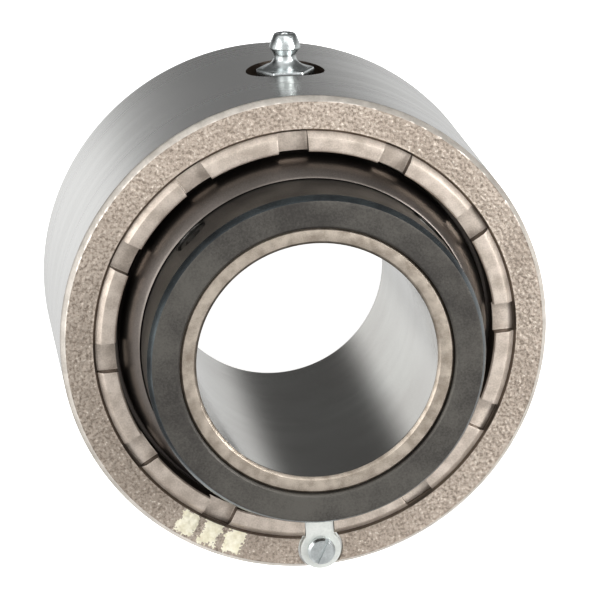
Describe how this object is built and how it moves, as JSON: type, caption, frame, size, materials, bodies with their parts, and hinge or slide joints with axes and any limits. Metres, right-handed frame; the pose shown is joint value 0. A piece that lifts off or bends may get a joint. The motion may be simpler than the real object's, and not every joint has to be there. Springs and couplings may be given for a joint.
{
  "type": "cartridge bearing unit",
  "caption": "Self-aligning roller bearing in a plain cylindrical housing, with an extended inner ring, setscrew collar, notched adjusting nut and grease fitting.",
  "frame": {"origin": "centre of the bearing on the bore axis, halfway along the housing, about which the inner ring aligns itself", "axes": "+Z along the bore towards the collar, +Y to the grease fitting; the part rests on the housing's rear face with the bore upright"},
  "size_m": [0.1048, 0.1125, 0.0779],
  "materials": {
    "turned_cast_iron": "turned outside, rough cast face",
    "plain_iron": "machined, slightly discoloured",
    "bearing_steel": "ground",
    "ground_steel": "ground and polished bore",
    "dark_pressed_steel": "pressed, dark",
    "pressed_steel": "plain",
    "black_steel": "black oxide, matt",
    "zinc_plate": "bright zinc plated",
    "seal_rubber": "moulded"
  },
  "bodies": {
    "cartridge": {"housing": "turned_cast_iron", "adjusting_nut": "plain_iron", "cup_front": "bearing_steel", "cup_rear": "bearing_steel", "lock_tab": "zinc_plate", "lock_screw": "zinc_plate", "grease_fitting": "zinc_plate", "check_spring": "pressed_steel"},
    "seals": {"seal_front": "dark_pressed_steel", "seal_rear": "dark_pressed_steel", "seal_lip_front": "seal_rubber", "seal_lip_rear": "seal_rubber"},
    "shaft_side": {"inner_ring": "ground_steel", "locking_collar": "black_steel"},
    "right_setscrew": {"setscrew_right": "black_steel"},
    "left_setscrew": {"setscrew_left": "black_steel"},
    "front_cage": {"cage_front": "pressed_steel"},
    "rear_cage": {"cage_rear": "pressed_steel"},
    "valve_ball": {"check_ball": "bearing_steel"},
    "front_roller_01": {"roller_front_01": "bearing_steel"},
    "front_roller_02": {"roller_front_02": "bearing_steel"},
    "front_roller_03": {"roller_front_03": "bearing_steel"},
    "front_roller_04": {"roller_front_04": "bearing_steel"},
    "front_roller_05": {"roller_front_05": "bearing_steel"},
    "front_roller_06": {"roller_front_06": "bearing_steel"},
    "front_roller_07": {"roller_front_07": "bearing_steel"},
    "front_roller_08": {"roller_front_08": "bearing_steel"},
    "front_roller_09": {"roller_front_09": "bearing_steel"},
    "front_roller_10": {"roller_front_10": "bearing_steel"},
    "front_roller_11": {"roller_front_11": "bearing_steel"},
    "front_roller_12": {"roller_front_12": "bearing_steel"},
    "front_roller_13": {"roller_front_13": "bearing_steel"},
    "front_roller_14": {"roller_front_14": "bearing_steel"},
    "rear_roller_01": {"roller_rear_01": "bearing_steel"},
    "rear_roller_02": {"roller_rear_02": "bearing_steel"},
    "rear_roller_03": {"roller_rear_03": "bearing_steel"},
    "rear_roller_04": {"roller_rear_04": "bearing_steel"},
    "rear_roller_05": {"roller_rear_05": "bearing_steel"},
    "rear_roller_06": {"roller_rear_06": "bearing_steel"},
    "rear_roller_07": {"roller_rear_07": "bearing_steel"},
    "rear_roller_08": {"roller_rear_08": "bearing_steel"},
    "rear_roller_09": {"roller_rear_09": "bearing_steel"},
    "rear_roller_10": {"roller_rear_10": "bearing_steel"},
    "rear_roller_11": {"roller_rear_11": "bearing_steel"},
    "rear_roller_12": {"roller_rear_12": "bearing_steel"},
    "rear_roller_13": {"roller_rear_13": "bearing_steel"},
    "rear_roller_14": {"roller_rear_14": "bearing_steel"}
  },
  "joints": [
    {"name": "self_align", "type": "hinge", "parent": "cartridge", "child": "seals", "pos_m": [0, 0, 0], "axis": [1, 0, 0], "range_deg": [-1.5, 1.5]},
    {"name": "inner_ring_spin", "type": "hinge", "parent": "seals", "child": "shaft_side", "pos_m": [0, 0, 0], "axis": [0, 0, 1], "continuous": true},
    {"name": "front_cage_orbit", "type": "hinge", "parent": "cartridge", "child": "front_cage", "pos_m": [0, 0, 0], "axis": [0, 0, 1], "continuous": true},
    {"name": "rear_cage_orbit", "type": "hinge", "parent": "cartridge", "child": "rear_cage", "pos_m": [0, 0, 0], "axis": [0, 0, 1], "continuous": true},
    {"name": "right_setscrew_slide", "type": "slide", "parent": "shaft_side", "child": "right_setscrew", "axis": [-0.7133, -0.7009, 0], "range_m": [-0.0009, 0.0005]},
    {"name": "left_setscrew_slide", "type": "slide", "parent": "shaft_side", "child": "left_setscrew", "axis": [0.7009, -0.7133, 0], "range_m": [-0.0009, 0.0005]},
    {"name": "valve_ball_slide", "type": "slide", "parent": "cartridge", "child": "valve_ball", "axis": [0, -1, 0], "range_m": [0, 0.0008], "stiffness_N_per_m": 500, "springref_m": -0.0005, "deforming": ["check_spring"]},
    {"name": "front_roller_01_spin", "type": "hinge", "parent": "front_cage", "child": "front_roller_01", "pos_m": [0.03593, 0, 0.01237], "axis": [-0.3256, 0, 0.9455], "continuous": true},
    {"name": "front_roller_02_spin", "type": "hinge", "parent": "front_cage", "child": "front_roller_02", "pos_m": [0.03237, 0.01559, 0.01237], "axis": [-0.2933, -0.1413, 0.9455], "continuous": true},
    {"name": "front_roller_03_spin", "type": "hinge", "parent": "front_cage", "child": "front_roller_03", "pos_m": [0.0224, 0.02809, 0.01237], "axis": [-0.203, -0.2545, 0.9455], "continuous": true},
    {"name": "front_roller_04_spin", "type": "hinge", "parent": "front_cage", "child": "front_roller_04", "pos_m": [0.008, 0.03503, 0.01237], "axis": [-0.0724, -0.3174, 0.9455], "continuous": true},
    {"name": "front_roller_05_spin", "type": "hinge", "parent": "front_cage", "child": "front_roller_05", "pos_m": [-0.008, 0.03503, 0.01237], "axis": [0.0724, -0.3174, 0.9455], "continuous": true},
    {"name": "front_roller_06_spin", "type": "hinge", "parent": "front_cage", "child": "front_roller_06", "pos_m": [-0.0224, 0.02809, 0.01237], "axis": [0.203, -0.2545, 0.9455], "continuous": true},
    {"name": "front_roller_07_spin", "type": "hinge", "parent": "front_cage", "child": "front_roller_07", "pos_m": [-0.03237, 0.01559, 0.01237], "axis": [0.2933, -0.1413, 0.9455], "continuous": true},
    {"name": "front_roller_08_spin", "type": "hinge", "parent": "front_cage", "child": "front_roller_08", "pos_m": [-0.03593, 0, 0.01237], "axis": [0.3256, 0, 0.9455], "continuous": true},
    {"name": "front_roller_09_spin", "type": "hinge", "parent": "front_cage", "child": "front_roller_09", "pos_m": [-0.03237, -0.01559, 0.01237], "axis": [0.2933, 0.1413, 0.9455], "continuous": true},
    {"name": "front_roller_10_spin", "type": "hinge", "parent": "front_cage", "child": "front_roller_10", "pos_m": [-0.0224, -0.02809, 0.01237], "axis": [0.203, 0.2545, 0.9455], "continuous": true},
    {"name": "front_roller_11_spin", "type": "hinge", "parent": "front_cage", "child": "front_roller_11", "pos_m": [-0.008, -0.03503, 0.01237], "axis": [0.0724, 0.3174, 0.9455], "continuous": true},
    {"name": "front_roller_12_spin", "type": "hinge", "parent": "front_cage", "child": "front_roller_12", "pos_m": [0.008, -0.03503, 0.01237], "axis": [-0.0724, 0.3174, 0.9455], "continuous": true},
    {"name": "front_roller_13_spin", "type": "hinge", "parent": "front_cage", "child": "front_roller_13", "pos_m": [0.0224, -0.02809, 0.01237], "axis": [-0.203, 0.2545, 0.9455], "continuous": true},
    {"name": "front_roller_14_spin", "type": "hinge", "parent": "front_cage", "child": "front_roller_14", "pos_m": [0.03237, -0.01559, 0.01237], "axis": [-0.2933, 0.1413, 0.9455], "continuous": true},
    {"name": "rear_roller_01_spin", "type": "hinge", "parent": "rear_cage", "child": "rear_roller_01", "pos_m": [0.03593, 0, -0.01237], "axis": [0.3256, 0, 0.9455], "continuous": true},
    {"name": "rear_roller_02_spin", "type": "hinge", "parent": "rear_cage", "child": "rear_roller_02", "pos_m": [0.03237, 0.01559, -0.01237], "axis": [0.2933, 0.1413, 0.9455], "continuous": true},
    {"name": "rear_roller_03_spin", "type": "hinge", "parent": "rear_cage", "child": "rear_roller_03", "pos_m": [0.0224, 0.02809, -0.01237], "axis": [0.203, 0.2545, 0.9455], "continuous": true},
    {"name": "rear_roller_04_spin", "type": "hinge", "parent": "rear_cage", "child": "rear_roller_04", "pos_m": [0.008, 0.03503, -0.01237], "axis": [0.0724, 0.3174, 0.9455], "continuous": true},
    {"name": "rear_roller_05_spin", "type": "hinge", "parent": "rear_cage", "child": "rear_roller_05", "pos_m": [-0.008, 0.03503, -0.01237], "axis": [-0.0724, 0.3174, 0.9455], "continuous": true},
    {"name": "rear_roller_06_spin", "type": "hinge", "parent": "rear_cage", "child": "rear_roller_06", "pos_m": [-0.0224, 0.02809, -0.01237], "axis": [-0.203, 0.2545, 0.9455], "continuous": true},
    {"name": "rear_roller_07_spin", "type": "hinge", "parent": "rear_cage", "child": "rear_roller_07", "pos_m": [-0.03237, 0.01559, -0.01237], "axis": [-0.2933, 0.1413, 0.9455], "continuous": true},
    {"name": "rear_roller_08_spin", "type": "hinge", "parent": "rear_cage", "child": "rear_roller_08", "pos_m": [-0.03593, 0, -0.01237], "axis": [-0.3256, 0, 0.9455], "continuous": true},
    {"name": "rear_roller_09_spin", "type": "hinge", "parent": "rear_cage", "child": "rear_roller_09", "pos_m": [-0.03237, -0.01559, -0.01237], "axis": [-0.2933, -0.1413, 0.9455], "continuous": true},
    {"name": "rear_roller_10_spin", "type": "hinge", "parent": "rear_cage", "child": "rear_roller_10", "pos_m": [-0.0224, -0.02809, -0.01237], "axis": [-0.203, -0.2545, 0.9455], "continuous": true},
    {"name": "rear_roller_11_spin", "type": "hinge", "parent": "rear_cage", "child": "rear_roller_11", "pos_m": [-0.008, -0.03503, -0.01237], "axis": [-0.0724, -0.3174, 0.9455], "continuous": true},
    {"name": "rear_roller_12_spin", "type": "hinge", "parent": "rear_cage", "child": "rear_roller_12", "pos_m": [0.008, -0.03503, -0.01237], "axis": [0.0724, -0.3174, 0.9455], "continuous": true},
    {"name": "rear_roller_13_spin", "type": "hinge", "parent": "rear_cage", "child": "rear_roller_13", "pos_m": [0.0224, -0.02809, -0.01237], "axis": [0.203, -0.2545, 0.9455], "continuous": true},
    {"name": "rear_roller_14_spin", "type": "hinge", "parent": "rear_cage", "child": "rear_roller_14", "pos_m": [0.03237, -0.01559, -0.01237], "axis": [0.2933, -0.1413, 0.9455], "continuous": true}
  ],
  "couplings": [
    {"joint": "front_cage_orbit", "follows": "inner_ring_spin", "ratio": 0.44125},
    {"joint": "rear_cage_orbit", "follows": "inner_ring_spin", "ratio": 0.44125},
    {"joint": "front_roller_01_spin", "follows": "inner_ring_spin", "ratio": -4.004},
    {"joint": "front_roller_02_spin", "follows": "inner_ring_spin", "ratio": -4.004},
    {"joint": "front_roller_03_spin", "follows": "inner_ring_spin", "ratio": -4.004},
    {"joint": "front_roller_04_spin", "follows": "inner_ring_spin", "ratio": -4.004},
    {"joint": "front_roller_05_spin", "follows": "inner_ring_spin", "ratio": -4.004},
    {"joint": "front_roller_06_spin", "follows": "inner_ring_spin", "ratio": -4.004},
    {"joint": "front_roller_07_spin", "follows": "inner_ring_spin", "ratio": -4.004},
    {"joint": "front_roller_08_spin", "follows": "inner_ring_spin", "ratio": -4.004},
    {"joint": "front_roller_09_spin", "follows": "inner_ring_spin", "ratio": -4.004},
    {"joint": "front_roller_10_spin", "follows": "inner_ring_spin", "ratio": -4.004},
    {"joint": "front_roller_11_spin", "follows": "inner_ring_spin", "ratio": -4.004},
    {"joint": "front_roller_12_spin", "follows": "inner_ring_spin", "ratio": -4.004},
    {"joint": "front_roller_13_spin", "follows": "inner_ring_spin", "ratio": -4.004},
    {"joint": "front_roller_14_spin", "follows": "inner_ring_spin", "ratio": -4.004},
    {"joint": "rear_roller_01_spin", "follows": "inner_ring_spin", "ratio": -4.004},
    {"joint": "rear_roller_02_spin", "follows": "inner_ring_spin", "ratio": -4.004},
    {"joint": "rear_roller_03_spin", "follows": "inner_ring_spin", "ratio": -4.004},
    {"joint": "rear_roller_04_spin", "follows": "inner_ring_spin", "ratio": -4.004},
    {"joint": "rear_roller_05_spin", "follows": "inner_ring_spin", "ratio": -4.004},
    {"joint": "rear_roller_06_spin", "follows": "inner_ring_spin", "ratio": -4.004},
    {"joint": "rear_roller_07_spin", "follows": "inner_ring_spin", "ratio": -4.004},
    {"joint": "rear_roller_08_spin", "follows": "inner_ring_spin", "ratio": -4.004},
    {"joint": "rear_roller_09_spin", "follows": "inner_ring_spin", "ratio": -4.004},
    {"joint": "rear_roller_10_spin", "follows": "inner_ring_spin", "ratio": -4.004},
    {"joint": "rear_roller_11_spin", "follows": "inner_ring_spin", "ratio": -4.004},
    {"joint": "rear_roller_12_spin", "follows": "inner_ring_spin", "ratio": -4.004},
    {"joint": "rear_roller_13_spin", "follows": "inner_ring_spin", "ratio": -4.004},
    {"joint": "rear_roller_14_spin", "follows": "inner_ring_spin", "ratio": -4.004}
  ]
}
